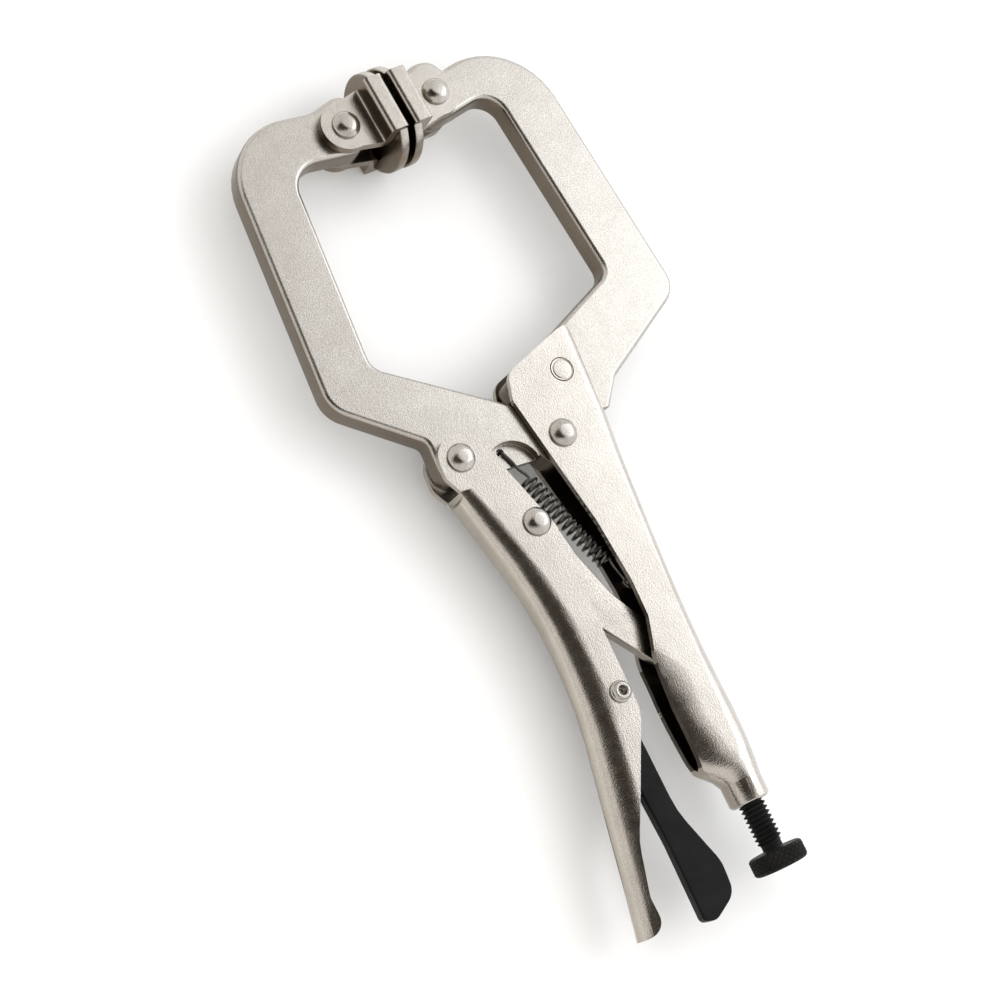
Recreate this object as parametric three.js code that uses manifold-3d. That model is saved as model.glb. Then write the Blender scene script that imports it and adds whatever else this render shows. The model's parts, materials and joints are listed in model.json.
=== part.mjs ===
// Locking C-clamp pliers with swivel pads, 11 inch class.
// Millimetres. The tool lies flat: +Y runs along it from the adjusting knob to the jaws,
// +X points to the fixed handle's side and +Z is up, out of the flat of the tool.
// The design is drawn about the main pivot, and the finished group is moved so that
// the origin is at the centre of the underside of its box.

import * as THREE from 'three';
import { mergeVertices } from 'three/addons/utils/BufferGeometryUtils.js';
import Module from 'manifold-3d';

const wasm = await Module();
wasm.setup();

// ---------------------------------------------------------------- driving dimensions

const DEG = Math.PI / 180;
const GAP = 0.3;                         // clearance between pieces that touch
const ARM_THICK = 9;                     // forged jaws
const SHEET = 2.2;                       // handle sheet
const PAD_SHEET = 3.2;                   // pad sheet
const CHANNEL_IN = ARM_THICK / 2 + GAP;  // half the space between a channel's sides
const CHANNEL_OUT = CHANNEL_IN + SHEET;
const RIVET_R = 3;
const HEAD_R = 4.5;
const HEAD_H = 2.4;
const PIN_GAP = 0.08;                    // radial running clearance of a rivet
const WASHER_GAP = 0.15;                 // clearance round and beside a spacer washer
const RELEASE_PIN_R = 2.2;
const THROUGH = 20;                      // half the height of a cut that goes right through

// pivots, from the main pivot
const MAIN_PIVOT = [0, 0];
const LEVER_PIVOT = [-35.2, 1.8];
const TOGGLE_PIVOT = [-20, -23.6];
const RELEASE_PIVOT = [-16.2, -79.7];
const MOVING_PAD_PIVOT = [-28.7, 112];
const FIXED_PAD_PIVOT = [5, 116.6];
const JAW_WELD = [8.4, 19.2];
const WELD_R = 3.7;
const SPRING_HOOK = [-19.7, 0.9];
const SPRING_ANCHOR = [5.6, -48.5];

// adjusting screw: its axis runs through the neck, tilted outwards
const SCREW_TILT = 3.8 * DEG;
const NECK_END = [13.8, -124];
const SCREW_R = 4.1;
const THREAD_DEPTH = 0.9;
const SCREW_TIP_FROM_NECK_END = 37.6;    // inwards
const SCREW_SHOWING = 15.2;              // outwards, up to the knob
const KNOB_R = 8.75;
const KNOB_LENGTH = 5.8;

const ANCHOR_R = 1.5;
const ANCHOR_HALF_LENGTH = CHANNEL_IN + 1.2;   // its ends sit in blind sockets in the sheet
const PAD_R = 16.2;
const PAD_GAP = 2.2;                     // between the two gripping faces
const PAD_HALF_HEIGHT = 15.4;            // over the folded hems, the tool's thickest place

const COLOURS = {
  plated: { color: 0xc9c5bd, roughness: 0.35, metalness: 1 },
  rivet: { color: 0xcfccc6, roughness: 0.25, metalness: 1 },
  spring: { color: 0x8d8a85, roughness: 0.3, metalness: 1 },
  black: { color: 0x141415, roughness: 0.5, metalness: 0.4 },
};

// ---------------------------------------------------------------- geometry helpers

function solidFrom(geometry) {
  const bare = geometry.clone();
  bare.deleteAttribute('normal');
  bare.deleteAttribute('uv');
  const merged = mergeVertices(bare, 1e-4);
  return new wasm.Manifold(new wasm.Mesh({
    numProp: 3,
    vertProperties: new Float32Array(merged.attributes.position.array),
    triVerts: new Uint32Array(merged.index.array),
  }));
}

function geometryFrom(solid) {
  const mesh = solid.getMesh();
  const geometry = new THREE.BufferGeometry();
  geometry.setAttribute('position', new THREE.BufferAttribute(mesh.vertProperties, 3));
  geometry.setIndex(new THREE.BufferAttribute(mesh.triVerts, 1));
  geometry.computeVertexNormals();
  return geometry;
}

// A closed outline through corners [x, y, radius]; a corner with a radius becomes an arc.
function roundedOutline(corners, arcStep = 9 * DEG) {
  const points = [];
  corners.forEach(([x, y, radius = 0], i) => {
    const corner = new THREE.Vector2(x, y);
    const before = corners[(i + corners.length - 1) % corners.length];
    const after = corners[(i + 1) % corners.length];
    if (!radius) {
      points.push(corner);
      return;
    }
    const toBefore = new THREE.Vector2(before[0] - x, before[1] - y).normalize();
    const toAfter = new THREE.Vector2(after[0] - x, after[1] - y).normalize();
    const half = Math.acos(THREE.MathUtils.clamp(toBefore.dot(toAfter), -1, 1)) / 2;
    const centre = corner.clone().add(
      toBefore.clone().add(toAfter).normalize().multiplyScalar(radius / Math.sin(half)));
    const start = corner.clone().addScaledVector(toBefore, radius / Math.tan(half)).sub(centre);
    const turn = Math.PI - 2 * half;
    const side = Math.sign(toAfter.cross(toBefore));
    const steps = Math.max(2, Math.ceil(turn / arcStep));
    for (let k = 0; k <= steps; k += 1) {
      const angle = side * turn * k / steps;
      points.push(start.clone().rotateAround(new THREE.Vector2(), angle).add(centre));
    }
  });
  return points;
}

// The same corners moved into the material by a distance; arcs keep their centres.
function insetCorners(corners, inset) {
  const place = (i) => {
    const [x, y] = corners[(i + corners.length) % corners.length];
    return new THREE.Vector2(x, y);
  };
  const clockwise = THREE.ShapeUtils.isClockWise(corners.map((_, i) => place(i)));
  const inward = (from, to) => {
    const along = to.clone().sub(from).normalize();
    return new THREE.Vector2(-along.y, along.x).multiplyScalar(clockwise ? -1 : 1);
  };
  return corners.map(([x, y, radius = 0], i) => {
    const before = inward(place(i - 1), place(i));
    const after = inward(place(i), place(i + 1));
    const scale = inset / (1 + before.dot(after));
    const turn = before.cross(after) * (clockwise ? -1 : 1);
    const moved = radius ? Math.max(radius - Math.sign(turn) * inset, 0.05) : 0;
    return [x + (before.x + after.x) * scale, y + (before.y + after.y) * scale, moved];
  });
}

// A solid skin through rings of equal length, closed by a flat cap at each end.
// plan maps a ring's points to the plane in which its cap is cut into triangles.
function loft(rings, plan) {
  const count = rings[0].length;
  const positions = rings.flat().flatMap((point) => point.toArray());
  const index = [];
  for (let r = 0; r + 1 < rings.length; r += 1) {
    for (let k = 0; k < count; k += 1) {
      const next = (k + 1) % count;
      const a = r * count + k;
      const b = r * count + next;
      index.push(a, b, a + count, b, b + count, a + count);
    }
  }
  const last = (rings.length - 1) * count;
  const bottom = THREE.ShapeUtils.triangulateShape(rings[0].map(plan), []);
  const top = THREE.ShapeUtils.triangulateShape(rings[rings.length - 1].map(plan), []);
  bottom.forEach(([a, b, c]) => index.push(a, c, b));
  top.forEach(([a, b, c]) => index.push(last + a, last + b, last + c));
  const geometry = new THREE.BufferGeometry();
  geometry.setAttribute('position', new THREE.Float32BufferAttribute(positions, 3));
  geometry.setIndex(index);
  return solidFrom(geometry);
}

function prism(points, low, high) {
  const geometry = new THREE.ExtrudeGeometry(
    new THREE.Shape(points), { depth: high - low, steps: 1, curveSegments: 1, bevelEnabled: false });
  geometry.translate(0, 0, low);
  return solidFrom(geometry);
}

// A plate between two heights, drawn in the XY plane, with a rounded shoulder on both faces.
function plate(corners, low, high, shoulder = 0, shoulderSteps = 2) {
  if (!shoulder) {
    return prism(roundedOutline(corners), low, high);
  }
  const rings = [];
  const ringAt = (inset, z) => {
    const points = roundedOutline(insetCorners(corners, inset));
    if (THREE.ShapeUtils.isClockWise(points)) {
      points.reverse();
    }
    rings.push(points.map((point) => new THREE.Vector3(point.x, point.y, z)));
  };
  for (let k = 0; k <= shoulderSteps; k += 1) {
    const swing = k / shoulderSteps * Math.PI / 2;
    ringAt(shoulder * (1 - Math.sin(swing)), low + shoulder * (1 - Math.cos(swing)));
  }
  for (let k = shoulderSteps; k >= 0; k -= 1) {
    const swing = k / shoulderSteps * Math.PI / 2;
    ringAt(shoulder * (1 - Math.sin(swing)), high - shoulder * (1 - Math.cos(swing)));
  }
  return loft(rings, (point) => new THREE.Vector2(point.x, point.y));
}

// A piece of revolution about +Z through [x, y], from a half profile of [radius, z].
function turned(profile, [x, y] = [0, 0], segments = 24) {
  const points = profile.map(([radius, z]) => new THREE.Vector2(radius, z));
  const geometry = new THREE.LatheGeometry(points, segments);
  geometry.rotateX(Math.PI / 2);
  geometry.translate(x, y, 0);
  return solidFrom(geometry);
}

function rod(radius, low, high, place, segments = 24) {
  return turned([[0, low], [radius, low], [radius, high], [0, high]], place, segments);
}

// A bar along Y whose +X or -X side is its rounded spine; the other side runs far out flat.
// Each station is [y, spine x, half width, rounding in z, rounding in x].
function spineBar(stations, towards, farX, arcSteps = 6) {
  const rings = stations.map(([y, x, halfWidth, depth, reach = depth]) => {
    const ring = [new THREE.Vector3(farX, y, -halfWidth)];
    for (const side of [-1, 1]) {
      for (let k = 0; k <= arcSteps; k += 1) {
        const swing = (side < 0 ? k : arcSteps - k) / arcSteps * Math.PI / 2;
        ring.push(new THREE.Vector3(
          x - towards * reach * (1 - Math.sin(swing)),
          y,
          side * (halfWidth - depth * (1 - Math.cos(swing))),
        ));
      }
    }
    ring.push(new THREE.Vector3(farX, y, halfWidth));
    return towards > 0 ? ring : ring.reverse();
  });
  return loft(rings, (point) => new THREE.Vector2(point.x, point.z));
}

// Stations along a smooth curve through a few of them.
function spineStations(knots, pieces) {
  const columns = [0, 1, 2, 3, 4].map((c) => new THREE.SplineCurve(
    knots.map((knot, i) => new THREE.Vector2(i, knot[Math.min(c, knot.length - 1)]))));
  return Array.from({ length: pieces + 1 }, (_, k) => {
    const [y, x, halfWidth, depth, reach] = columns.map((column) => column.getPoint(k / pieces).y);
    return [y, x, halfWidth, Math.min(depth, halfWidth - 0.05), reach];
  });
}

// The same stations for the inside of the sheet.
function insideOf(stations, towards) {
  return stations.map(([y, x, halfWidth, depth, reach]) => (
    [y, x - towards * SHEET, halfWidth - SHEET, depth - SHEET, reach - SHEET]));
}

function at(solid, { x = 0, y = 0, z = 0, turn = 0 }) {
  return solid.rotate([0, 0, turn / DEG]).translate([x, y, z]);
}

// A solid drawn along +Z is laid along the screw's axis, +Z pointing inwards from the neck's end.
function alongScrew(solid) {
  return solid
    .rotate([-90, 0, 0])
    .rotate([0, 0, SCREW_TILT / DEG])
    .translate([NECK_END[0], NECK_END[1], 0]);
}

const group = new THREE.Group();

function add(name, solid, look) {
  const mesh = new THREE.Mesh(geometryFrom(solid), new THREE.MeshStandardMaterial(COLOURS[look]));
  mesh.name = name;
  group.add(mesh);
}

// ---------------------------------------------------------------- rivets and pins

function domeProfile(radius, base, height, steps = 3) {
  const rim = 0.7;
  const profile = [[radius, base]];
  for (let k = 0; k <= steps; k += 1) {
    const angle = k / steps * Math.PI / 2;
    profile.push([radius * Math.cos(angle), base + rim + (height - rim) * Math.sin(angle)]);
  }
  profile[profile.length - 1][0] = 0;
  return profile;
}

// A rivet with a domed head on each side, seated on a channel's or a pad's outer faces.
function rivet(place, outerFace) {
  const seat = outerFace + 0.05;
  const upper = domeProfile(HEAD_R, seat, HEAD_H);
  const lower = upper.map(([r, z]) => [r, -z]).reverse();
  return turned([...lower, [RIVET_R, -seat], [RIVET_R, seat], ...upper], place);
}

function rivetHole(place, radius = RIVET_R) {
  return rod(radius + PIN_GAP, -THROUGH, THROUGH, place);
}

function washer(place, outer, inner, low, high) {
  return turned([[inner, low], [outer, low], [outer, high], [inner, high], [inner, low]], place);
}

// ---------------------------------------------------------------- fixed handle

const NECK_R = 6.5;
const FIXED_SPINE = spineStations([
  [4, 18.5, CHANNEL_OUT, 4.4], [-12, 17.6, CHANNEL_OUT, 4.4], [-36, 17.1, CHANNEL_OUT, 4.4],
  [-58, 17.2, CHANNEL_OUT, 5], [-78, 18.3, CHANNEL_OUT, 6], [-98, 20.2, CHANNEL_OUT, 7],
  [-108, 20.4, CHANNEL_OUT, 7], [-117.5, 19.9, NECK_R, NECK_R],
], 16);

// The mouth side of the channel, which rolls in until it closes round the neck.
const MOUTH_SIDE = spineStations([
  [-36, -34, CHANNEL_OUT, 5, 16], [-58, -20, CHANNEL_OUT, 6, 16], [-78, -8.5, CHANNEL_OUT, 6, 16],
  [-95, -5.5, CHANNEL_OUT, 6.5, 14], [-108, -2.5, CHANNEL_OUT, 6.9, 14.5], [-114, 4.3, 6.8, 6.75, 9.5],
  [-117.5, 7, NECK_R, NECK_R, NECK_R],
], 14);

const LEVER_SPINE = spineStations([
  [-8, -40.6, CHANNEL_OUT, 4.6, 5], [-23, -36.1, CHANNEL_OUT, 4.8, 6.6], [-43, -30.7, CHANNEL_OUT, 5.2, 7.7],
  [-61, -28.5, CHANNEL_OUT, 5.9, 8.4], [-83, -28.7, CHANNEL_OUT, 6.6, 9.1], [-108, -32.3, CHANNEL_OUT, 6.9, 9.4],
  [-130, -35.4, CHANNEL_OUT, 6.9, 9.4], [-150, -38.6, CHANNEL_OUT, 6.6, 9],
], 18);

// The first station again, further up the tool.
function startAt(y, stations) {
  return [[y, ...stations[0].slice(1)], ...stations];
}

function fixedHandle() {
  const neckTop = 14;
  const right = 40;
  const left = -40;
  const sides = [
    [12, 31.9, 1.5], [17.1, 33, 2], [17, 15, 8], [16.4, 4.2, 0.6], [22, 3.8], [23, -112], [21, -117.5],
    [6.8, -117.5, 4], [1.2, -111, 6], [-0.6, -90, 20], [-0.6, -74, 12], [2.6, -61.5, 4], [2.2, -50, 10],
    [-1, -29, 20], [-11.6, 14, 3.5], [-9.5, 22.8, 5],
  ];
  const hollow = spineBar(insideOf(startAt(40, FIXED_SPINE), 1), 1, left)
    .intersect(spineBar(insideOf(startAt(41, MOUTH_SIDE), -1), -1, right));
  const jawMouth = plate([[-20, 4], [40, 4], [40, 40], [-20, 40]], -CHANNEL_IN, CHANNEL_IN);
  const neck = alongScrew(turned([
    [0, 0], [NECK_R - 0.8, 0], [NECK_R, 0.8], [NECK_R, neckTop - 3], [NECK_R - 2, neckTop], [0, neckTop],
  ]));
  const bore = alongScrew(rod(SCREW_R + GAP, -1, neckTop + 5));
  return spineBar(startAt(36, FIXED_SPINE), 1, left)
    .intersect(spineBar(startAt(37, MOUTH_SIDE), -1, right))
    .intersect(plate(sides, -THROUGH, THROUGH))
    .subtract(hollow)
    .subtract(jawMouth)
    .add(neck)
    .subtract(bore)
    .subtract(rivetHole(MAIN_PIVOT))
    .subtract(rod(ANCHOR_R + 0.1, -ANCHOR_HALF_LENGTH - 0.1, ANCHOR_HALF_LENGTH + 0.1, SPRING_ANCHOR))
    .subtract(rod(WELD_R + GAP, -THROUGH, THROUGH, JAW_WELD));
}

// ---------------------------------------------------------------- jaws

const SHOULDER = 1.6;
const JAW_BOSS = 9.5;

function fixedJaw() {
  const outline = [
    [-2.4, 129.2, 8], [9.8, 129.2, 5.4], [12.6, 125, 1.2], [42.8, 136.3, 24], [60.9, 35.3, 8.5],
    [27.3, 13.3, 3], [20, 3], [20, -3], [-9.8, 14.6, 2], [-10.3, 20.5, 3], [38.9, 46.2, 5],
    [26.5, 114.7, 7], [-0.9, 106.4, 7.9],
  ];
  const underSpine = [[13.8, -10], [30, -10], [30, 4.4], [13.8, 4.4]];
  return plate(outline, -ARM_THICK / 2, ARM_THICK / 2, SHOULDER)
    .subtract(rod(JAW_BOSS + 1.1, -THROUGH, THROUGH, MAIN_PIVOT, 36))
    .subtract(plate(underSpine, -THROUGH, THROUGH))
    .subtract(rivetHole(FIXED_PAD_PIVOT));
}

// The moving jaw's root is thinned to a web where the spring hooks on.
function movingJaw() {
  const webHalf = 1.4;
  const outline = [
    [-36, 120.2, 12], [-22.3, 125.6, 5], [-19.4, 103.9, 8], [-49.6, 103.9, 9], [-49.6, 36.6, 6], [-15.5, 16.6],
    [2, 6.2], [2, -4.4], [-30, -4.4, 4], [-35, -5.2, 3], [-42.2, -5.2, 6.8], [-42.4, 9.8, 3], [-67.8, 27.7, 11],
    [-68.4, 120.2, 22],
  ];
  const recess = (low, high) => rod(9.5, low, high, [-18.5, -6.3], 36);
  return plate(outline, -ARM_THICK / 2, ARM_THICK / 2, SHOULDER)
    .add(rod(JAW_BOSS, -ARM_THICK / 2, ARM_THICK / 2, MAIN_PIVOT, 36))
    .subtract(recess(webHalf, 10))
    .subtract(recess(-10, -webHalf))
    .subtract(rod(1.3, -5, 5, SPRING_HOOK, 16))
    .subtract(rivetHole(MAIN_PIVOT))
    .subtract(rivetHole(LEVER_PIVOT))
    .subtract(rivetHole(MOVING_PAD_PIVOT));
}

function jawWeld(side) {
  const [low, high] = [ARM_THICK / 2 + GAP, CHANNEL_OUT + 0.1].map((z) => z * side);
  return rod(WELD_R, Math.min(low, high), Math.max(low, high), JAW_WELD);
}

// ---------------------------------------------------------------- lever handle

function leverHandle() {
  const far = 20;
  const sides = [
    [-28.6, 9, 6.4], [-42.4, 9, 7], [-42.4, -3, 5], [-38.6, -9.2, 1.2], [-40, -11, 0.6], [-46, -11],
    [-44, -140], [-40.6, -148.6, 4], [-31.8, -148.6, 5], [-32.4, -138, 8], [-29, -122, 30], [-12.2, -87, 14],
    [-13.8, -55, 40], [-14.2, -27, 8],
  ];
  const closedEnd = 2;
  const open = [24, -7.9].map((y) => [y, -60, CHANNEL_OUT, 6.2, 6.2]);
  const hollow = insideOf([...open, ...LEVER_SPINE.slice(0, -closedEnd)], -1);
  return spineBar(startAt(20, [[-7.8, -47, CHANNEL_OUT, 4.6, 4.6], ...LEVER_SPINE]), -1, far)
    .intersect(plate(sides, -THROUGH, THROUGH))
    .subtract(spineBar(hollow, -1, far))
    .subtract(rivetHole(LEVER_PIVOT))
    .subtract(rivetHole(TOGGLE_PIVOT))
    .subtract(rivetHole(RELEASE_PIVOT, RELEASE_PIN_R));
}

// ---------------------------------------------------------------- toggle link and release lever

const LINK_THICK = 4;

function toggleLink() {
  const outline = [
    [-24, -16.2, 6], [-13.2, -18.6, 6], [-9.2, -36, 20], [-3.2, -50.8, 5], [16.9, -80.3, 4.1],
    [10.2, -85.4, 4.1], [-11.8, -58.8, 3], [-27.4, -24, 8],
  ];
  return plate(outline, -LINK_THICK / 2, LINK_THICK / 2, 0.4, 1)
    .subtract(rivetHole(TOGGLE_PIVOT));
}

const RELEASE_THICK = 4;

function releaseLever() {
  const outline = [
    [-23.4, -76, 5], [-19.6, -64.5, 3], [-14.8, -66, 2], [-10, -79, 5], [-13.2, -92, 20], [-11.2, -118, 30],
    [-3.9, -136.5, 12], [-4.1, -146.4, 6], [-12.8, -151.6, 4], [-17, -150.6, 1.8], [-18.2, -126, 30],
    [-21.6, -95, 20],
  ];
  return plate(outline, -RELEASE_THICK / 2, RELEASE_THICK / 2, 0.6, 2)
    .subtract(rivetHole(RELEASE_PIVOT, RELEASE_PIN_R));
}

// A hollow rivet: a collar and a raised ring with an open socket at each end.
function releasePin() {
  const seat = CHANNEL_OUT + 0.05;
  const side = [
    [RELEASE_PIN_R, 0], [RELEASE_PIN_R, seat], [3.4, seat], [3.4, seat + 0.8], [2.5, seat + 1.2],
    [2.5, seat + 2], [1.5, seat + 2], [1.3, seat - 1],
  ];
  const mirrored = side.slice(1).reverse().map(([r, z]) => [r, -z]);
  return turned([[0, -(seat - 1)], ...mirrored, ...side, [0, seat - 1]], RELEASE_PIVOT);
}

// ---------------------------------------------------------------- adjusting screw

// The thread is drawn as a plain rod of its major diameter.
function adjustingScrew() {
  const tip = SCREW_TIP_FROM_NECK_END;
  const core = SCREW_R - THREAD_DEPTH;
  return alongScrew(turned([
    [0, -SCREW_SHOWING], [core, -SCREW_SHOWING], [core, -SCREW_SHOWING + 0.9], [SCREW_R, -SCREW_SHOWING + 1.5],
    [SCREW_R, tip - 3.5], [core, tip - 3], [core, tip - 1], [1.6, tip], [0, tip],
  ]));
}

function adjustingKnob() {
  const near = -SCREW_SHOWING - GAP;
  const chamfer = 0.8;
  return alongScrew(turned([
    [0, near - KNOB_LENGTH], [KNOB_R - 2, near - KNOB_LENGTH], [KNOB_R, near - KNOB_LENGTH + chamfer],
    [KNOB_R, near - chamfer], [KNOB_R - chamfer, near], [0, near],
  ], [0, 0], 40));
}

// ---------------------------------------------------------------- spring

const SPRING_R = 2.5;
const WIRE_R = 0.5;

// The coils run straight between the jaw's web and the anchor pin. The upper hook crosses
// the web's face and drops through its hole; the lower hook goes round the pin.
function tensionSpring() {
  const turns = 16;
  const perTurn = 8;
  const coilStart = new THREE.Vector3(-14.4, -9.2, 0);
  const coilEnd = new THREE.Vector3(0.4, -41.6, 0);
  const axis = coilEnd.clone().sub(coilStart);
  const side = new THREE.Vector3(-axis.y, axis.x, 0).normalize();
  const [hookX, hookY] = SPRING_HOOK;
  const webSide = 2.2;
  const points = [
    new THREE.Vector3(hookX, hookY, -1.8),
    new THREE.Vector3(hookX, hookY, 0),
    new THREE.Vector3(hookX, hookY, webSide - 0.3),
    new THREE.Vector3(hookX + 0.5, hookY - 0.9, webSide),
    new THREE.Vector3(hookX + 2, hookY - 3.6, webSide),
    new THREE.Vector3(hookX + 3.2, hookY - 6.6, webSide),
  ];
  for (let k = 0; k <= turns * perTurn; k += 1) {
    const angle = (k / perTurn + 0.25) * 2 * Math.PI;
    points.push(coilStart.clone()
      .addScaledVector(axis, k / (turns * perTurn))
      .addScaledVector(side, SPRING_R * Math.cos(angle))
      .add(new THREE.Vector3(0, 0, SPRING_R * Math.sin(angle))));
  }
  const loopR = ANCHOR_R + WIRE_R + GAP;
  for (const angle of [150, 180, 225, 270, 315, 360, 405]) {
    points.push(new THREE.Vector3(
      SPRING_ANCHOR[0] + loopR * Math.cos(angle * DEG), SPRING_ANCHOR[1] + loopR * Math.sin(angle * DEG), 0));
  }
  const section = new THREE.Shape(
    Array.from({ length: 5 }, (_, k) => new THREE.Vector2(
      WIRE_R * Math.cos(k / 5 * 2 * Math.PI), WIRE_R * Math.sin(k / 5 * 2 * Math.PI))));
  const path = new THREE.CatmullRomCurve3(points);
  return solidFrom(new THREE.ExtrudeGeometry(section, { steps: 170, extrudePath: path }));
}

// ---------------------------------------------------------------- swivel pads

const PAD_OUT = CHANNEL_IN + PAD_SHEET;
const PAD_PIVOTS_APART = Math.hypot(
  FIXED_PAD_PIVOT[0] - MOVING_PAD_PIVOT[0], FIXED_PAD_PIVOT[1] - MOVING_PAD_PIVOT[1]);
const PAD_FACE = (PAD_PIVOTS_APART - PAD_GAP) / 2;
const PAD_TURN = Math.atan2(
  FIXED_PAD_PIVOT[1] - MOVING_PAD_PIVOT[1], FIXED_PAD_PIVOT[0] - MOVING_PAD_PIVOT[0]);

// One bent sheet: a round plate, two hems folded back behind it, and two ears.
// Drawn about its pivot with the gripping face towards +X.
function pad() {
  const hemGap = 0.3;
  const hemHalfLength = 9.4;
  const foldRound = 1.6;
  const earEnd = -12;
  const earRound = 8;
  const plateBack = PAD_FACE - PAD_SHEET;
  const flangeFront = plateBack - hemGap;
  const flangeBack = flangeFront - PAD_SHEET;
  const top = PAD_HALF_HEIGHT;
  const upper = [
    [PAD_FACE, top, foldRound], [flangeBack, top, foldRound], [flangeBack, PAD_OUT, 0.8], [earEnd, PAD_OUT],
    [earEnd, CHANNEL_IN], [flangeFront, CHANNEL_IN, 3.6], [flangeFront, top - PAD_SHEET],
    [plateBack, top - PAD_SHEET],
  ];
  const lower = upper.map(([x, z, radius]) => [x, -z, radius]).reverse();
  const bent = prism(roundedOutline([...upper, ...lower]), -THROUGH, THROUGH).rotate([90, 0, 0]);
  const outline = [
    [-earRound, -earRound, earRound - 0.1], [-earRound, earRound, earRound - 0.1], [2, earRound, 6],
    [flangeBack, hemHalfLength, 1.5], [PAD_FACE + 1, hemHalfLength], [PAD_FACE + 1, -hemHalfLength],
    [flangeBack, -hemHalfLength, 1.5], [2, -earRound, 6],
  ];
  const round = turned([
    [0, plateBack], [PAD_R - 0.5, plateBack], [PAD_R, plateBack + 0.5], [PAD_R, PAD_FACE - 0.5],
    [PAD_R - 0.5, PAD_FACE], [0, PAD_FACE],
  ], [0, 0], 48).rotate([0, 90, 0]);
  const flats = prism(roundedOutline([
    [-THROUGH, -top], [PAD_FACE, -top, foldRound], [PAD_FACE, top, foldRound], [-THROUGH, top],
  ]), -THROUGH, THROUGH).rotate([90, 0, 0]);
  return bent
    .intersect(plate(outline, -THROUGH, THROUGH))
    .add(round.intersect(flats))
    .subtract(rivetHole([0, 0]));
}

// ---------------------------------------------------------------- assembly

add('fixed_handle', fixedHandle(), 'plated');
add('fixed_jaw', fixedJaw(), 'plated');
add('jaw_weld_front', jawWeld(1), 'plated');
add('jaw_weld_back', jawWeld(-1), 'plated');
add('moving_jaw', movingJaw(), 'plated');
add('lever_handle', leverHandle(), 'plated');
add('toggle_link', toggleLink(), 'plated');
add('release_lever', releaseLever(), 'black');

add('main_pivot_rivet', rivet(MAIN_PIVOT, CHANNEL_OUT), 'rivet');
add('lever_pivot_rivet', rivet(LEVER_PIVOT, CHANNEL_OUT), 'rivet');
add('toggle_rivet', rivet(TOGGLE_PIVOT, CHANNEL_OUT), 'rivet');
add('fixed_pad_rivet', rivet(FIXED_PAD_PIVOT, PAD_OUT), 'rivet');
add('moving_pad_rivet', rivet(MOVING_PAD_PIVOT, PAD_OUT), 'rivet');
add('release_lever_pin', releasePin(), 'rivet');
add('spring_anchor', rod(ANCHOR_R, -ANCHOR_HALF_LENGTH, ANCHOR_HALF_LENGTH, SPRING_ANCHOR, 20), 'rivet');

for (const [name, side] of [['front', 1], ['back', -1]]) {
  const span = (inner) => [inner * side, (CHANNEL_IN - WASHER_GAP) * side].sort((a, b) => a - b);
  const linkSpan = span(LINK_THICK / 2 + WASHER_GAP);
  const releaseSpan = span(RELEASE_THICK / 2 + WASHER_GAP);
  add(`link_washer_${name}`, washer(TOGGLE_PIVOT, 5.2, RIVET_R + WASHER_GAP, ...linkSpan), 'rivet');
  add(`release_washer_${name}`, washer(RELEASE_PIVOT, 4, RELEASE_PIN_R + WASHER_GAP, ...releaseSpan), 'rivet');
}

add('adjusting_screw', adjustingScrew(), 'black');
add('adjusting_knob', adjustingKnob(), 'black');
add('tension_spring', tensionSpring(), 'spring');
for (const [name, [x, y], turn] of [
  ['moving_pad', MOVING_PAD_PIVOT, PAD_TURN],
  ['fixed_pad', FIXED_PAD_PIVOT, PAD_TURN + Math.PI],
]) {
  add(name, at(pad(), { x, y, turn }), 'plated');
}

// Origin: the centre of the underside of the whole tool's box.
const box = new THREE.Box3().setFromObject(group);
group.position.set(-(box.min.x + box.max.x) / 2, -(box.min.y + box.max.y) / 2, -box.min.z);
group.updateMatrixWorld(true);

export default group;
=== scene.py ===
"""Locking C-clamp pliers: finishes, fine detail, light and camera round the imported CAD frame."""

import json
import math

import bmesh
import bpy
from mathutils import Matrix, Vector

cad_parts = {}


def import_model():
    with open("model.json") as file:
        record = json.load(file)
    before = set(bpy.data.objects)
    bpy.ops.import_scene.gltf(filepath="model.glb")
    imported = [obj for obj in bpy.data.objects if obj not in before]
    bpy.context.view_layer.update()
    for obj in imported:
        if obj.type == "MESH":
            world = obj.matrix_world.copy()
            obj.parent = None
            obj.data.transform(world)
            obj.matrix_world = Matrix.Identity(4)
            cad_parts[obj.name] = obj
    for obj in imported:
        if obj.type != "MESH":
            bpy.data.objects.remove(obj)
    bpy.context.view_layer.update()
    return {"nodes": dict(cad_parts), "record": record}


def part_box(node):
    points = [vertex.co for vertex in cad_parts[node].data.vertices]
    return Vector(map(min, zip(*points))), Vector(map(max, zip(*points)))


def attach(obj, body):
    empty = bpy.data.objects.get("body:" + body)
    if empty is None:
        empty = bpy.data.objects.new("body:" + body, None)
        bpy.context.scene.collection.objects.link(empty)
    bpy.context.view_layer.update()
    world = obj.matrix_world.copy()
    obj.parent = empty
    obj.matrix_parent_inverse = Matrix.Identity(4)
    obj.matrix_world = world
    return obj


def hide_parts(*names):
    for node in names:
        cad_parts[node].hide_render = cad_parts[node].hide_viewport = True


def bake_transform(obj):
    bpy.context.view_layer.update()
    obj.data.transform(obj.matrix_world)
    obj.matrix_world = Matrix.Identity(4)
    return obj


MM = 0.001

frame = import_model()
NODES = frame["nodes"]
BEHAVIOUR = frame["record"]["behaviour"]
JOINTS = {joint["name"]: joint for joint in BEHAVIOUR["joints"]}
MAIN_PIVOT = Vector(JOINTS["jaw_pivot"]["pos_m"])
UP = Vector((0, 0, 1))


def from_pivot(x, y, z=0.0):
    """A point given in millimetres from the main pivot."""
    return MAIN_PIVOT + Vector((x, y, z)) * MM


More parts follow.
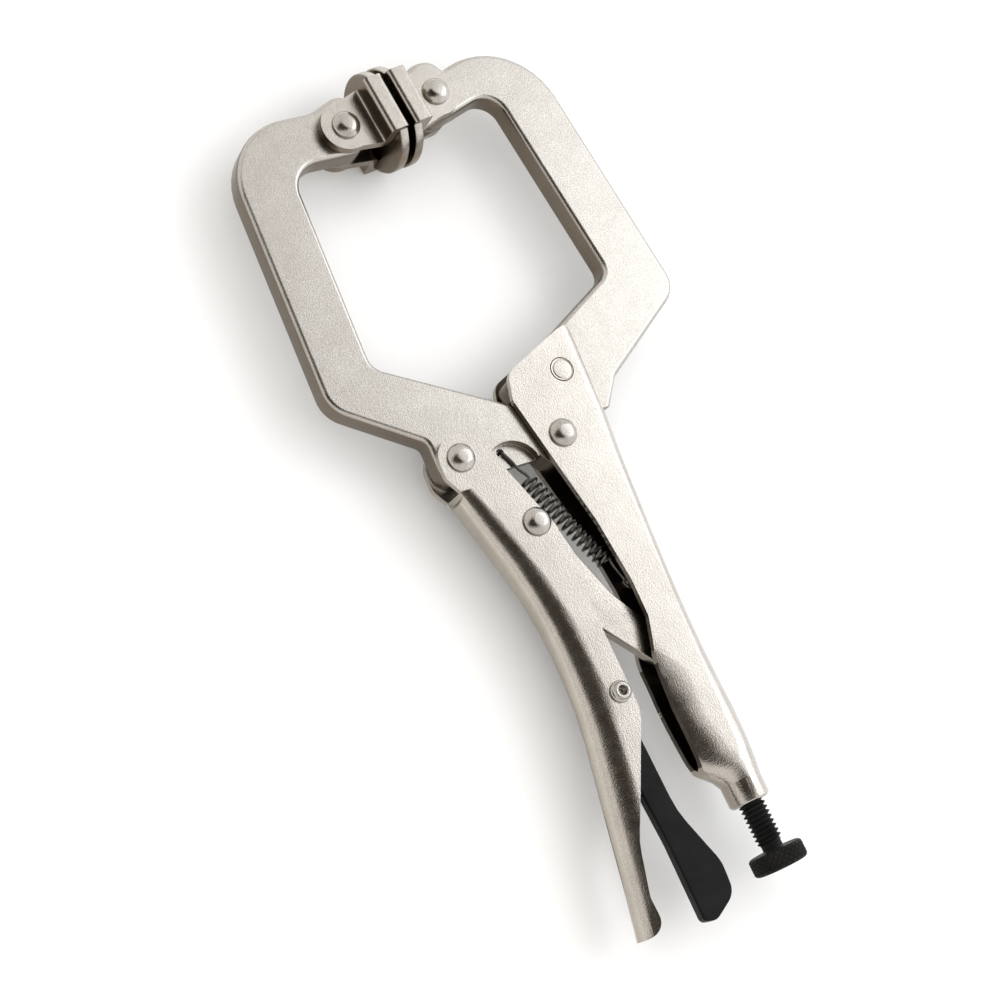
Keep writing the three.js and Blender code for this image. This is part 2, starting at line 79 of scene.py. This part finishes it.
def body_of(node):
    """The name of the body that a CAD node belongs to."""
    for body, members in BEHAVIOUR["bodies"].items():
        if node in members:
            return body
    return None


# ------------------------------------------------------------------ materials
# Grain sizes and depths are in millimetres.

NOISE_MIDDLE = (0.35, 0.65)
RAMP_ENDS = (0.3, 0.7)
CLOUD_SIZE, PATCH_SIZE, WAVE_SIZE = 9, 3.5, 7
SPECKLE_SIZE, SPECKLE_TONES = 0.32, (0.80, 1.0)
COAT_CLOUD_SIZE, COAT_PATCH_SIZE = 6, 2.5


def new_material(name):
    material = bpy.data.materials.new(name)
    material.use_nodes = True
    tree = material.node_tree
    shader = tree.nodes["Principled BSDF"]
    return material, tree, shader


def link(tree, source, output, target, socket):
    tree.links.new(source.outputs[output], target.inputs[socket])


def noise(tree, size, detail=3.0, roughness=0.55):
    """Noise whose grains are about size millimetres across."""
    place = tree.nodes.new("ShaderNodeTexCoord")
    node = tree.nodes.new("ShaderNodeTexNoise")
    node.inputs["Scale"].default_value = 1 / (size * MM)
    node.inputs["Detail"].default_value = detail
    node.inputs["Roughness"].default_value = roughness
    link(tree, place, "Object", node, "Vector")
    return node


def spread(tree, source, low, high):
    """The source's middle range spread over low to high."""
    node = tree.nodes.new("ShaderNodeMapRange")
    node.inputs["From Min"].default_value, node.inputs["From Max"].default_value = NOISE_MIDDLE
    node.inputs["To Min"].default_value = low
    node.inputs["To Max"].default_value = high
    link(tree, source, "Fac", node, "Value")
    return node


def bump(tree, shader, height, depth, below=None):
    """Relief of the given depth on the shader, on top of another relief below it."""
    node = tree.nodes.new("ShaderNodeBump")
    node.inputs["Strength"].default_value = 1.0
    node.inputs["Distance"].default_value = depth * MM
    link(tree, height, "Fac", node, "Height")
    if below is not None:
        link(tree, below, "Normal", node, "Normal")
    link(tree, node, "Normal", shader, "Normal")
    return node


def tint(tree, source, dark, light, output="Fac"):
    """Colours from dark to light over the source's range."""
    node = tree.nodes.new("ShaderNodeValToRGB")
    for element, position, colour in zip(node.color_ramp.elements, RAMP_ENDS, (dark, light)):
        element.position = position
        element.color = (*colour, 1)
    link(tree, source, output, node, "Fac")
    return node


def product(tree, first, first_output, second, second_output):
    """One colour or value times another."""
    node = tree.nodes.new("ShaderNodeVectorMath")
    node.operation = "MULTIPLY"
    link(tree, first, first_output, node, 0)
    link(tree, second, second_output, node, 1)
    return node


def painted_wall_shade(tree, shade_colour):
    """Painted shade: full brightness on flats that face up or down, falling to the shade colour on walls
    square to them.
    """
    surface = tree.nodes.new("ShaderNodeNewGeometry")
    split = tree.nodes.new("ShaderNodeSeparateXYZ")
    level = tree.nodes.new("ShaderNodeMath")
    level.operation = "ABSOLUTE"
    link(tree, surface, "Normal", split, "Vector")
    link(tree, split, "Z", level, 0)
    return tint(tree, level, shade_colour, (1, 1, 1), output="Value")


def metal(name, dark, light, rough, grain_size, grain_depth, wave_depth=0.0, walls=None):
    """Clouded and speckled metal with a fine grain, and painted shade on its side walls where a walls colour
    is given.
    """
    material, tree, shader = new_material(name)
    shader.inputs["Metallic"].default_value = 1.0
    cloud = noise(tree, CLOUD_SIZE, detail=4)
    speckle = spread(tree, noise(tree, SPECKLE_SIZE, detail=1), *SPECKLE_TONES)
    colour = product(tree, tint(tree, cloud, dark, light), "Color", speckle, "Result")
    # Painted shade: the colour is darkened towards the walls colour on walls square to the flats.
    if walls:
        colour = product(tree, colour, "Vector", painted_wall_shade(tree, walls), "Color")
    link(tree, colour, "Vector", shader, "Base Color")
    patches = noise(tree, PATCH_SIZE, detail=5, roughness=0.65)
    link(tree, spread(tree, patches, *rough), "Result", shader, "Roughness")
    below = None
    if wave_depth:
        below = bump(tree, shader, noise(tree, WAVE_SIZE, detail=2), wave_depth)
    bump(tree, shader, noise(tree, grain_size, detail=2), grain_depth, below)
    return material


# The walls colours below are painted shade on each metal's side walls, darkest on the jaws and pads.
PLATED = metal("plated_steel", (0.59, 0.565, 0.53), (0.66, 0.635, 0.60), (0.18, 0.24), 0.46, 0.06, 0.01,
               walls=(0.80, 0.75, 0.69))
FORGED = metal("plated_forging", (0.59, 0.57, 0.54), (0.64, 0.625, 0.595), (0.22, 0.27), 0.36, 0.05, 0.015,
               walls=(0.30, 0.25, 0.20))
FOLDED = metal("plated_pad", (0.57, 0.545, 0.51), (0.64, 0.615, 0.58), (0.18, 0.24), 0.46, 0.05, 0.01,
               walls=(0.38, 0.32, 0.26))
# Painted shade: a near-black metal standing in for the shade inside the fixed handle's channel.
PAINTED_INSIDE_SHADE = metal("channel_inside_painted_shade", (0.07, 0.055, 0.042), (0.13, 0.105, 0.082), (0.34, 0.50), 0.5, 0.04)
POLISHED = metal("polished_rivet", (0.50, 0.485, 0.46), (0.62, 0.605, 0.575), (0.16, 0.26), 0.5, 0.03)
WIRE = metal("spring_wire", (0.15, 0.145, 0.14), (0.26, 0.25, 0.24), (0.20, 0.32), 0.4, 0.012)


def coating(name, dark, light, rough, grain_size, grain_depth):
    """A dull, faintly clouded coat with a fine grain."""
    material, tree, shader = new_material(name)
    shader.inputs["Specular IOR Level"].default_value = 0.12
    cloud = noise(tree, COAT_CLOUD_SIZE, detail=4)
    link(tree, tint(tree, cloud, dark, light), "Color", shader, "Base Color")
    patches = noise(tree, COAT_PATCH_SIZE, detail=4)
    link(tree, spread(tree, patches, *rough), "Result", shader, "Roughness")
    bump(tree, shader, noise(tree, grain_size), grain_depth)
    return material


BLACK_COAT = coating("black_coating", (0.005, 0.005, 0.0055), (0.009, 0.009, 0.010), (0.34, 0.46), 0.5, 0.02)
BLACK_OXIDE = coating("black_oxide", (0.006, 0.006, 0.006), (0.013, 0.013, 0.013), (0.42, 0.58), 0.35, 0.03)

FINISH = {
    "plated_steel": PLATED,
    "rivet_steel": POLISHED,
    "spring_steel": WIRE,
    "black_lever": BLACK_COAT,
    "black_screw": BLACK_OXIDE,
}


def paint(obj, material):
    obj.data.materials.clear()
    obj.data.materials.append(material)


SLOT_OF = {sub["node"]: sub["material_slot"] for sub in frame["record"]["subparts"]}


def stand_in(obj, node, material=None):
    """obj is shown in place of a CAD node, on the node's body and in its finish."""
    paint(obj, material or FINISH[SLOT_OF[node]])
    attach(obj, body_of(node))
    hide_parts(node)
    return obj


SAME_POINT = 0.03
SAME_FLAT = math.radians(0.6)
ROUNDED_OVER = math.radians(50)


def skin(node, name, edge, segments=3, material=None):
    """The node's own shape with its edges rounded by edge millimetres."""
    mesh = NODES[node].data.copy()
    mesh.name = name
    obj = bpy.data.objects.new(name, mesh)
    bpy.context.scene.collection.objects.link(obj)
    bm = bmesh.new()
    bm.from_mesh(mesh)
    bmesh.ops.remove_doubles(bm, verts=bm.verts, dist=SAME_POINT * MM)
    bmesh.ops.dissolve_degenerate(bm, edges=bm.edges, dist=SAME_POINT * MM)
    bmesh.ops.dissolve_limit(bm, angle_limit=SAME_FLAT, verts=bm.verts, edges=bm.edges)
    bm.to_mesh(mesh)
    bm.free()
    mesh.shade_smooth()
    bevel = obj.modifiers.new("rounded_edges", "BEVEL")
    bevel.width = edge * MM
    bevel.segments = segments
    bevel.limit_method = "ANGLE"
    bevel.angle_limit = ROUNDED_OVER
    weighted = obj.modifiers.new("flat_faces", "WEIGHTED_NORMAL")
    weighted.weight = 100
    return stand_in(obj, node, material)


def paint_inside_shade(handle):
    """Gives the fixed handle's inner faces painted shade: a near-black, duller metal."""
    half_space = 4.85 * MM
    neck = from_pivot(0, -104).y
    towards_middle, towards_mouth = -1e-7, -0.1
    handle.data.materials.append(PAINTED_INSIDE_SHADE)
    for face in handle.data.polygons:
        height = face.center.z - MAIN_PIVOT.z
        looks_inwards = face.normal.z * height < towards_middle or face.normal.x < towards_mouth
        if abs(height) < half_space and face.center.y > neck and looks_inwards:
            face.material_index = 1


# ------------------------------------------------------------------ turned and coiled pieces

def mesh_piece(name, points, faces, sharp_over):
    """A smooth mesh, sharp where its faces meet at more than sharp_over degrees."""
    mesh = bpy.data.meshes.new(name)
    mesh.from_pydata([tuple(point) for point in points], [], faces)
    bm = bmesh.new()
    bm.from_mesh(mesh)
    bmesh.ops.recalc_face_normals(bm, faces=bm.faces)
    bm.to_mesh(mesh)
    bm.free()
    mesh.shade_smooth()
    mesh.set_sharp_from_angle(angle=math.radians(sharp_over))
    obj = bpy.data.objects.new(name, mesh)
    bpy.context.scene.collection.objects.link(obj)
    return obj


def tube(name, rings, sharp_over):
    """A closed skin over rings of equally many points, with a flat end on the first and last."""
    count = len(rings[0])
    points = [point for ring in rings for point in ring]
    faces = []
    for r in range(len(rings) - 1):
        for k in range(count):
            near, far = r * count, (r + 1) * count
            faces.append((near + k, near + (k + 1) % count, far + (k + 1) % count, far + k))
    last = (len(rings) - 1) * count
    faces.append(tuple(reversed(range(count))))
    faces.append(tuple(range(last, last + count)))
    return mesh_piece(name, points, faces, sharp_over)


def across(axis):
    """Two directions square to the axis and to each other."""
    first = axis.orthogonal().normalized()
    return first, axis.cross(first)


def circle(centre, axis, radius_at, count):
    """Points round a centre; radius_at gives the radius in millimetres for each angle."""
    first, second = across(axis)
    ring = []
    for k in range(count):
        angle = 2 * math.pi * k / count
        ring.append(centre + radius_at(angle) * MM * (math.cos(angle) * first + math.sin(angle) * second))
    return ring


def extent(node):
    """Centre of an upright round CAD node, and its bottom, top and radius from there in millimetres."""
    low, high = (Vector(corner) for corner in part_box(node))
    centre = (low + high) / 2
    offsets = [vertex.co - centre for vertex in NODES[node].data.vertices]
    heights = [offset.dot(UP) / MM for offset in offsets]
    radius = max((offset - UP * offset.dot(UP)).length for offset in offsets)
    return centre, min(heights), max(heights), radius / MM


def eased(corners, steps=4):
    """Outline corners (radius, height, rounding) with each rounding drawn as a small curve."""
    outline = []
    for k, (radius, height, rounding) in enumerate(corners):
        here = Vector((radius, height))
        if not rounding:
            outline.append(here)
            continue
        before, after = (Vector(corners[n % len(corners)][:2]) - here for n in (k - 1, k + 1))
        start, end = (here + side.normalized() * rounding for side in (before, after))
        for step in range(steps + 1):
            t = step / steps
            outline.append(start * (1 - t) ** 2 + here * 2 * t * (1 - t) + end * t ** 2)
    return outline


def turned(name, centre, corners, axis=UP, count=64):
    """A lathe-turned piece; the corners run from one end's middle to the other's."""
    smallest = 0.01
    rings = [circle(centre + axis * height * MM, axis, lambda angle, r=radius: max(r, smallest), count)
             for radius, height in eased(corners)]
    return tube(name, rings, sharp_over=40)


def both_ends(upper):
    """Corners of the upper half, mirrored to make the lower half."""
    lower = [(radius, -height, rounding) for radius, height, rounding in reversed(upper)]
    return lower + list(upper)


def rivet(node):
    """A rivet with a domed head at each end of its shank."""
    head_height, rim_height, shank = 2.4, 0.8, 3.0
    centre, _, top, radius = extent(node)
    seat = top - head_height
    half = [
        (shank, seat, 0), (radius, seat, 0.1), (radius, seat + rim_height, 0.5),
        (radius - 1.1, top - 0.6, 0.7), (radius - 2.2, top, 0.9), (0, top, 0),
    ]
    stand_in(turned(f"{node}_head", centre, both_ends(half)), node)


def release_pin():
    """The hollow rivet of the release lever: a flange, a raised lip and a blind bore at each end."""
    node = "release_lever_pin"
    head_height, flange_height, lip_foot, bore_depth = 2.0, 0.8, 1.2, 2.6
    shank, lip, bore, taper = 2.2, 2.5, 1.3, 0.2
    centre, _, top, radius = extent(node)
    seat, bottom = top - head_height, top - bore_depth
    half = [
        (shank, seat, 0), (radius, seat, 0.1), (radius, seat + flange_height, 0.4),
        (lip + taper, seat + lip_foot, 0.3), (lip, top, 0.3), (bore + taper, top, 0.25),
        (bore, bottom, 0.2), (0, bottom, 0),
    ]
    stand_in(turned("release_lever_pin_body", centre, both_ends(half)), node)


def weld(node, side):
    """A plug weld: a low mound with a faint ring round it."""
    centre, low, top, radius = extent(node)
    outline = [
        (0, low, 0), (radius, low, 0), (radius, top, 0.15), (radius - 0.5, top - 0.12, 0.1),
        (radius - 0.9, top - 0.02, 0.3), (0, top, 0),
    ]
    stand_in(turned(f"{node}_bead", centre, outline, axis=UP * side), node)


def washer(node, shank):
    """A ring round a shank, with softened rims."""
    clearance, count = 0.15, 64
    centre, low, high, radius = extent(node)
    bore = shank + clearance
    ring = eased([(bore, low, 0.15), (radius, low, 0.2), (radius, high, 0.2), (bore, high, 0.15)])
    rings = [circle(centre + UP * height * MM, UP, lambda angle, r=r: r, count) for r, height in ring]
    points = [point for loop in rings for point in loop]
    faces = []
    for r in range(len(rings)):
        near, far = r * count, (r + 1) % len(rings) * count
        faces += [(near + k, near + (k + 1) % count, far + (k + 1) % count, far + k) for k in range(count)]
    stand_in(mesh_piece(f"{node}_ring", points, faces, sharp_over=40), node)


def screw_axis():
    """The axis towards the toggle link, and the point on it that its joint stands at."""
    joint = JOINTS["screw_turn"]
    return -Vector(joint["axis"]).normalized(), Vector(joint["pos_m"])


def reach_along(node, origin, axis):
    """How far a CAD node reaches along an axis from the origin, in millimetres."""
    along = [(vertex.co - origin).dot(axis) / MM for vertex in NODES[node].data.vertices]
    return min(along), max(along)


def triangle_wave(turns):
    return abs(2 * (turns % 1) - 1)


def adjusting_screw():
    """An M8 screw: a sixty degree thread of 1.5 mm pitch with a short plain neck at the knob."""
    outer, core, pitch = 4.1, 3.2, 1.5
    run_out, root_flat, flank = 1.2, 0.12, 0.74
    point_length, point_radius = 0.8, 1.8
    axis, origin = screw_axis()
    outside, tip = reach_along("adjusting_screw", origin, axis)
    plain_end, thread_end = outside + 1.6, tip - 2.6
    count, step = 48, pitch / 10
    steps = int((tip - point_length - outside) / step)

    def radius_at(station):
        fade_in = min(1, max(0, station - plain_end) / run_out)
        fade_out = min(1, max(0, thread_end - station) / run_out)

        def radius(angle):
            ridge = triangle_wave(station / pitch - angle / (2 * math.pi))
            crest = min(1, max(0, (ridge - root_flat) / flank))
            return core + (outer - core) * crest * fade_in * fade_out
        return radius

    def ring(station, radius):
        return circle(origin + axis * station * MM, axis, radius, count)

    stations = [outside + k * step for k in range(steps + 1)]
    rings = [ring(station, radius_at(station)) for station in stations]
    rings.append(ring(tip, lambda angle: point_radius))
    stand_in(tube("adjusting_screw_thread", rings, sharp_over=50), "adjusting_screw")


def adjusting_knob():
    """A diamond-knurled thumb knob with rounded rims."""
    radius, rim = 8.75, 1.3
    knurl, knurl_slope = 0.5, 1.5
    cells, cell_height = 27, 2.0
    axis, origin = screw_axis()
    low, high = reach_along("adjusting_knob", origin, axis)
    length = high - low
    steps, count = 34, cells * 10

    def radius_at(depth):
        edge = min(depth, length - depth)
        rounding = rim - math.sqrt(max(0, rim ** 2 - max(0, rim - edge) ** 2))
        keep = min(1, edge / rim)

        def at_angle(angle):
            turns = angle / (2 * math.pi) * cells
            rise = depth / cell_height
            diamond = min(triangle_wave(turns + rise), triangle_wave(turns - rise))
            return radius - rounding - knurl * keep * (1 - min(1, knurl_slope * diamond))
        return at_angle

    depths = [length * (0.5 - 0.5 * math.cos(math.pi * k / steps)) for k in range(steps + 1)]
    rings = [circle(origin + axis * (low + depth) * MM, axis, radius_at(depth), count) for depth in depths]
    stand_in(tube("adjusting_knob_knurled", rings, sharp_over=60), "adjusting_knob")


def smooth_path(corners, steps=6):
    """Points along a smooth curve through the corners."""
    path = []
    padded = [corners[0]] + list(corners) + [corners[-1]]
    for k in range(1, len(padded) - 2):
        a, b, c, d = padded[k - 1:k + 3]
        for step in range(steps):
            t = step / steps
            path.append(0.5 * (2 * b + (c - a) * t + (2 * a - 5 * b + 4 * c - d) * t ** 2
                               + (3 * b - a - 3 * c + d) * t ** 3))
    path.append(corners[-1])
    return path


def wire(name, path, radius, count=12):
    """Round wire along a path, without twist."""
    rings = []
    side = None
    for k, point in enumerate(path):
        ahead = (path[min(k + 1, len(path) - 1)] - path[max(k - 1, 0)]).normalized()
        side = ahead.orthogonal() if side is None else side - ahead * side.dot(ahead)
        side.normalize()
        other = ahead.cross(side)
        rings.append([point + radius * MM * (math.cos(2 * math.pi * n / count) * side
                                             + math.sin(2 * math.pi * n / count) * other)
                      for n in range(count)])
    return tube(name, rings, sharp_over=50)


def tension_spring():
    """A close-wound coil between the fixed handle's anchor and the hole in the moving jaw's web."""
    turns, per_turn = 16, 8
    wire_radius, coil_radius, loop_gap = 0.5, 2.5, 0.3
    hook_x, hook_y, web_side = -19.7, 0.9, 2.2
    top, foot = from_pivot(-14.4, -9.2), from_pivot(0.4, -41.6)
    along = foot - top
    side = along.cross(UP).normalized() * -1
    corners = [from_pivot(hook_x, hook_y, height) for height in (-1.8, 0, web_side - 0.3)]
    for x, y in ((0.5, -0.9), (2, -3.6), (3.2, -6.6)):
        corners.append(from_pivot(hook_x + x, hook_y + y, web_side))
    for k in range(turns * per_turn + 1):
        angle = (k / per_turn + 0.25) * 2 * math.pi
        corners.append(top + along * (k / (turns * per_turn))
                       + coil_radius * MM * (side * math.cos(angle) + UP * math.sin(angle)))
    anchor, _, _, anchor_radius = extent("spring_anchor")
    loop = (anchor_radius + wire_radius + loop_gap) * MM
    for degrees in (150, *range(180, 406, 45)):
        angle = math.radians(degrees)
        corners.append(anchor + loop * Vector((math.cos(angle), math.sin(angle), 0)))
    spring = wire("tension_spring_coil", smooth_path(corners), wire_radius)
    paint(spring, WIRE)
    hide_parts("tension_spring")
    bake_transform(spring)


# ------------------------------------------------------------------ the pieces
# Edge roundings and shank radii are in millimetres.

skin("fixed_jaw", "fixed_jaw_forging", 1.4, 6, FORGED)
skin("moving_jaw", "moving_jaw_forging", 1.4, 6, FORGED)
paint_inside_shade(skin("fixed_handle", "fixed_handle_pressing", 0.25))
skin("lever_handle", "lever_handle_pressing", 0.25)
skin("toggle_link", "toggle_link_plate", 0.25)
skin("release_lever", "release_lever_plate", 0.3)
skin("moving_pad", "moving_pad_pressing", 0.25, material=FOLDED)
skin("fixed_pad", "fixed_pad_pressing", 0.25, material=FOLDED)
for place in ("main_pivot", "lever_pivot", "toggle", "fixed_pad", "moving_pad"):
    rivet(f"{place}_rivet")
for joined, shank in (("link", 3.0), ("release", 2.2)):
    for side in ("front", "back"):
        washer(f"{joined}_washer_{side}", shank)
release_pin()
weld("jaw_weld_front", 1)
weld("jaw_weld_back", -1)
adjusting_screw()
adjusting_knob()
tension_spring()

for node_name, node in NODES.items():
    if node.material_slots and not node.hide_render:
        node.material_slots[0].material = FINISH[SLOT_OF[node_name]]


# ------------------------------------------------------------------ stage, light, camera

def floor():
    """A plain pale floor, a hair below the tool."""
    reach, height = 3.0, -0.2 * MM
    corners = [(-reach, -reach, 0), (reach, -reach, 0), (reach, reach, 0), (-reach, reach, 0)]
    mesh = bpy.data.meshes.new("floor")
    mesh.from_pydata(corners, [], [(0, 1, 2, 3)])
    obj = bpy.data.objects.new("floor", mesh)
    obj.location.z = height
    bpy.context.scene.collection.objects.link(obj)
    material, _, shader = new_material("pale_floor")
    shader.inputs["Base Color"].default_value = (0.93, 0.945, 0.96, 1)
    shader.inputs["Roughness"].default_value = 0.9
    paint(obj, material)


def softbox(name, centre, width, watts, in_reflections=True):
    """A square soft light aimed at the tool's middle; sizes in metres."""
    lamp = bpy.data.lights.new(name, "AREA")
    lamp.shape = "RECTANGLE"
    lamp.size = lamp.size_y = width
    lamp.energy = watts
    obj = bpy.data.objects.new(name, lamp)
    aim = (-Vector(centre)).to_track_quat("-Z", "Y").to_matrix().to_4x4()
    obj.matrix_world = Matrix.Translation(centre) @ aim
    obj.visible_glossy = in_reflections
    bpy.context.scene.collection.objects.link(obj)


def world():
    """A white tent with warm walls on the lever's side and a dark opening overhead."""
    opening_centre, opening_radii, endless = (-0.26, 0.0, 0), (0.58, 0.46), 1e6
    opening_edge, wall_blend = (0.82, 1.12), (0.2, 0.62)
    dark, white = (0.045, 0.036, 0.028), (1, 1, 1)
    warm_wall, cool_wall = (0.90, 0.85, 0.79), (1.06, 1.05, 1.03)
    scene_world = bpy.data.worlds.new("studio")
    scene_world.use_nodes = True
    tree = scene_world.node_tree
    background = tree.nodes["Background"]
    place = tree.nodes.new("ShaderNodeTexCoord")

    def vector(operation, value):
        node = tree.nodes.new("ShaderNodeVectorMath")
        node.operation = operation
        node.inputs[1].default_value = value
        return node

    def ranged(low, high):
        node = tree.nodes.new("ShaderNodeMapRange")
        node.interpolation_type = "SMOOTHSTEP"
        node.inputs["From Min"].default_value = low
        node.inputs["From Max"].default_value = high
        return node

    def mixed(first, second):
        node = tree.nodes.new("ShaderNodeMix")
        node.data_type = "RGBA"
        node.inputs["A"].default_value = (*first, 1)
        node.inputs["B"].default_value = (*second, 1)
        return node

    offset = vector("SUBTRACT", opening_centre)
    scaled = vector("DIVIDE", (*opening_radii, endless))
    length = vector("LENGTH", (0, 0, 0))
    opening = ranged(*opening_edge)
    link(tree, place, "Generated", offset, 0)
    link(tree, offset, "Vector", scaled, 0)
    link(tree, scaled, "Vector", length, 0)
    link(tree, length, "Value", opening, "Value")

    split = tree.nodes.new("ShaderNodeSeparateXYZ")
    link(tree, place, "Generated", split, "Vector")
    sideways = ranged(*wall_blend)
    link(tree, split, "X", sideways, "Value")
    walls = mixed(warm_wall, cool_wall)
    link(tree, sideways, "Result", walls, "Factor")
    whole = mixed(dark, white)
    link(tree, opening, "Result", whole, "Factor")
    link(tree, walls, "Result", whole, "B")
    link(tree, whole, "Result", background, "Color")
    background.inputs["Strength"].default_value = 1.05
    bpy.context.scene.world = scene_world


def camera():
    """Looks down on the tool from beyond the lever's side, a little from the knob's end."""
    focal_over_width = 2.1115
    place = from_pivot(-308.158, -118.360, 559.644)
    right = Vector((0.85298, -0.37793, 0.36))
    down = Vector((-0.27271, -0.91079, -0.31))
    ahead = Vector((0.44504, 0.16625, -0.87994))
    data = bpy.data.cameras.new("camera")
    data.sensor_width = 36
    data.lens = data.sensor_width * focal_over_width
    data.clip_start = 0.05
    data.clip_end = 20
    obj = bpy.data.objects.new("camera", data)
    turn = Matrix((right, -down, -ahead)).transposed().to_4x4()
    obj.matrix_world = Matrix.Translation(place) @ turn
    bpy.context.scene.collection.objects.link(obj)
    bpy.context.scene.camera = obj


floor()
softbox("side_light", (0.9, 0.1, 0.75), width=0.9, watts=3)
softbox("floor_fill", (0, 0, 1.2), width=2.4, watts=14, in_reflections=False)
world()
camera()

bpy.context.scene.view_settings.view_transform = "Standard"
